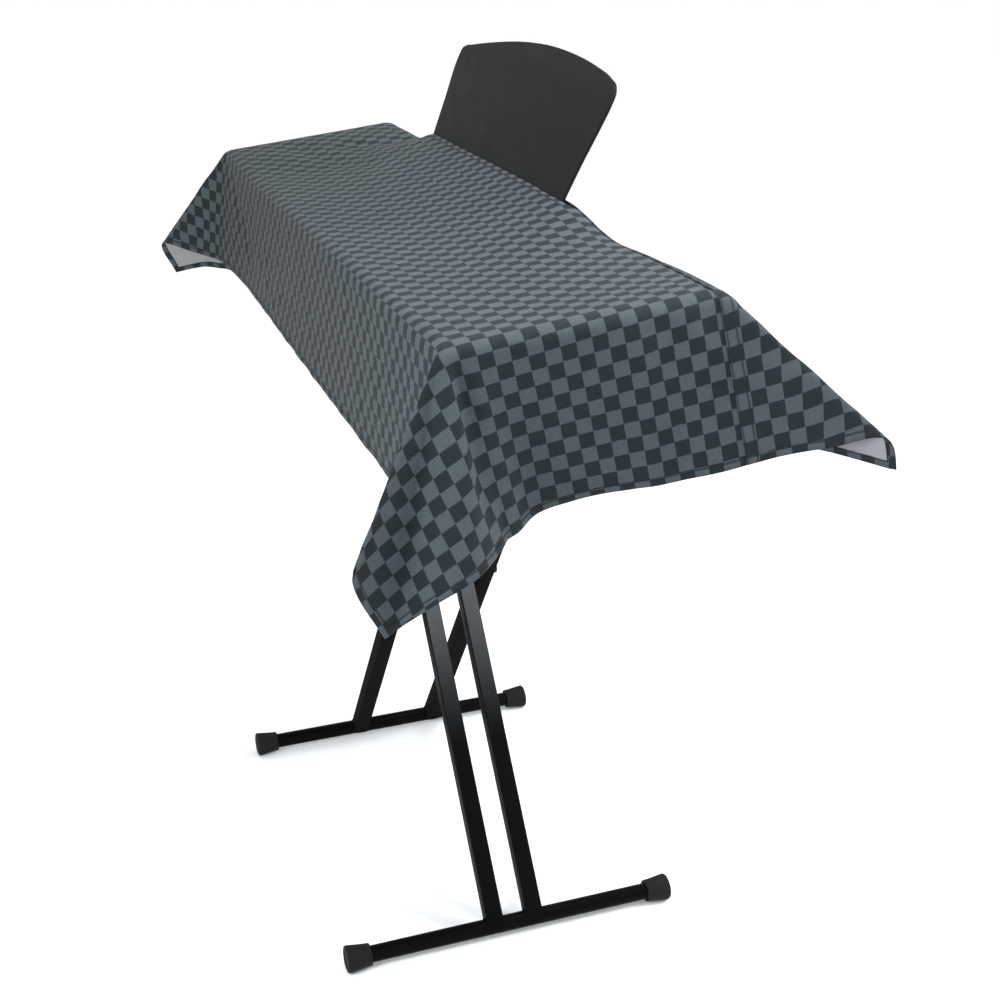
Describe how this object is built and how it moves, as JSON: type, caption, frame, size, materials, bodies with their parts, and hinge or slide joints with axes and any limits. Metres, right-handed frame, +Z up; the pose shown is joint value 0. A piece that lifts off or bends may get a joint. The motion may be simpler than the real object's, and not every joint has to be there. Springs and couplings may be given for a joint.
{
  "type": "digital piano cover on keyboard stand",
  "caption": "Hemmed check cloth cover draped over a digital piano, with a slit for its upright music rest, on a folding double-braced keyboard stand.",
  "frame": {"origin": "on the floor, under the middle of the whole object's bounding box", "axes": "+X towards the player's right, +Y from the player's side to the back, +Z up"},
  "size_m": [1.6828, 0.6629, 1.356],
  "materials": {
    "main_canvas": "plain-weave canvas printed with two-tone slate checks, hemmed",
    "back_canvas": "plain-weave canvas printed with two-tone slate checks, hemmed",
    "piano_case": "satin black moulded case",
    "rest_board": "matt black board",
    "stand_steel": "satin black paint",
    "bar_steel": "satin black paint",
    "cap_rubber": "matt black moulded rubber",
    "bolt_steel": "blackened pivot bolt"
  },
  "bodies": {
    "root": {"cover_main": "main_canvas", "cover_back": "back_canvas", "piano_body": "piano_case", "music_rest": "rest_board", "leg_near_front": "stand_steel", "leg_near_back": "stand_steel", "leg_far_front": "stand_steel", "leg_far_back": "stand_steel", "foot_bar_near": "bar_steel", "foot_bar_far": "bar_steel", "top_bar_near": "bar_steel", "top_bar_far": "bar_steel", "foot_cap_near_front": "cap_rubber", "foot_cap_near_back": "cap_rubber", "foot_cap_far_front": "cap_rubber", "foot_cap_far_back": "cap_rubber", "pivot_bolt": "bolt_steel"}
  },
  "joints": []
}
